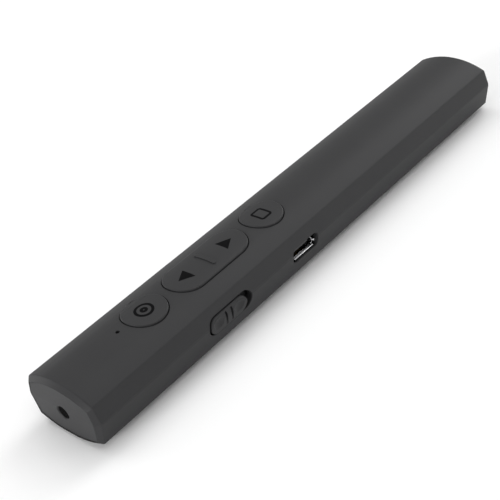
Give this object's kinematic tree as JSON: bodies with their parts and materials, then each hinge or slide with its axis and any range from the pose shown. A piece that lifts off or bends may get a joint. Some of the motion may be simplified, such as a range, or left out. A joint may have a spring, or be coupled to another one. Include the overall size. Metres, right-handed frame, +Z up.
{
  "type": "wireless presentation clicker",
  "caption": "Slim bar-shaped wireless presentation clicker with laser pointer, round buttons, page rocker, sliding power switch, charging port and a stowed receiver.",
  "frame": {"origin": "under the middle of the body, on the surface it rests on", "axes": "+X along the body from the laser's nose to the receiver's tail, +Z up through the buttons, -Y towards the side with the power switch and the charging port"},
  "size_m": [0.142, 0.0209, 0.0141],
  "materials": {
    "housing": "fine matt charcoal ABS",
    "buttons": "fine matt charcoal ABS",
    "black_plastic": "moulded black",
    "receiver_plastic": "fine matt black",
    "plated_steel": "bright nickel plate",
    "screw_steel": "zinc plate",
    "gold_contacts": "gold flash",
    "brass": "turned",
    "clear_lens": "polished",
    "lead_insulation": "smooth silicone",
    "circuit_board": "solder resist",
    "white_ceramic": "fired ceramic",
    "battery_pouch": "laminated foil",
    "foam": "closed-cell foam"
  },
  "bodies": {
    "housing": {"top_cover": "housing", "bottom_cover": "housing", "nose_plate": "housing", "tail_bay": "housing", "push_switch_bodies": "plated_steel", "slide_switch_housing": "plated_steel", "usb_port_shell": "plated_steel", "usb_port_tongue": "black_plastic", "usb_port_contacts": "gold_contacts", "laser_barrel": "brass", "laser_lens": "clear_lens", "laser_diode": "brass", "laser_leads": "lead_insulation", "main_board": "circuit_board", "board_chips": "black_plastic", "crystal_can": "plated_steel", "chip_antenna": "white_ceramic", "status_led": "white_ceramic", "light_guide": "clear_lens", "battery": "battery_pouch", "battery_foam": "foam", "battery_leads": "lead_insulation", "case_screws": "screw_steel", "board_screws": "screw_steel"},
    "laser_key": {"laser_button": "buttons", "laser_switch_plunger": "black_plastic"},
    "screen_key": {"screen_button": "buttons", "screen_switch_plunger": "black_plastic"},
    "page_key": {"page_rocker": "buttons"},
    "forward_plunger": {"forward_switch_plunger": "black_plastic"},
    "back_plunger": {"back_switch_plunger": "black_plastic"},
    "power_slider": {"power_knob": "buttons", "slide_switch_lever": "black_plastic"},
    "receiver": {"receiver_cover": "receiver_plastic", "receiver_plug_shell": "plated_steel", "receiver_tongue": "black_plastic", "receiver_contacts": "gold_contacts"}
  },
  "joints": [
    {"name": "laser_button_press", "type": "slide", "parent": "housing", "child": "laser_key", "axis": [0, 0, -1], "range_m": [0, 0.0003], "stiffness_N_per_m": 4000},
    {"name": "screen_button_press", "type": "slide", "parent": "housing", "child": "screen_key", "axis": [0, 0, -1], "range_m": [0, 0.0003], "stiffness_N_per_m": 4000},
    {"name": "page_rocker_tilt", "type": "hinge", "parent": "housing", "child": "page_key", "pos_m": [-0.0276, 0, 0.0102], "axis": [0, 1, 0], "range_deg": [-1.6, 1.6], "stiffness_Nm_per_rad": 0.45},
    {"name": "forward_plunger_travel", "type": "slide", "parent": "housing", "child": "forward_plunger", "axis": [0, 0, 1], "range_m": [-0.0003, 0.0003]},
    {"name": "back_plunger_travel", "type": "slide", "parent": "housing", "child": "back_plunger", "axis": [0, 0, 1], "range_m": [-0.0003, 0.0003]},
    {"name": "power_switch_slide", "type": "slide", "parent": "housing", "child": "power_slider", "axis": [1, 0, 0], "range_m": [0, 0.0015]},
    {"name": "receiver_draw", "type": "slide", "parent": "housing", "child": "receiver", "axis": [1, 0, 0], "range_m": [0, 0.022]}
  ],
  "couplings": [
    {"joint": "forward_plunger_travel", "follows": "page_rocker_tilt", "m_per_rad": 0.008},
    {"joint": "back_plunger_travel", "follows": "page_rocker_tilt", "m_per_rad": -0.008}
  ]
}
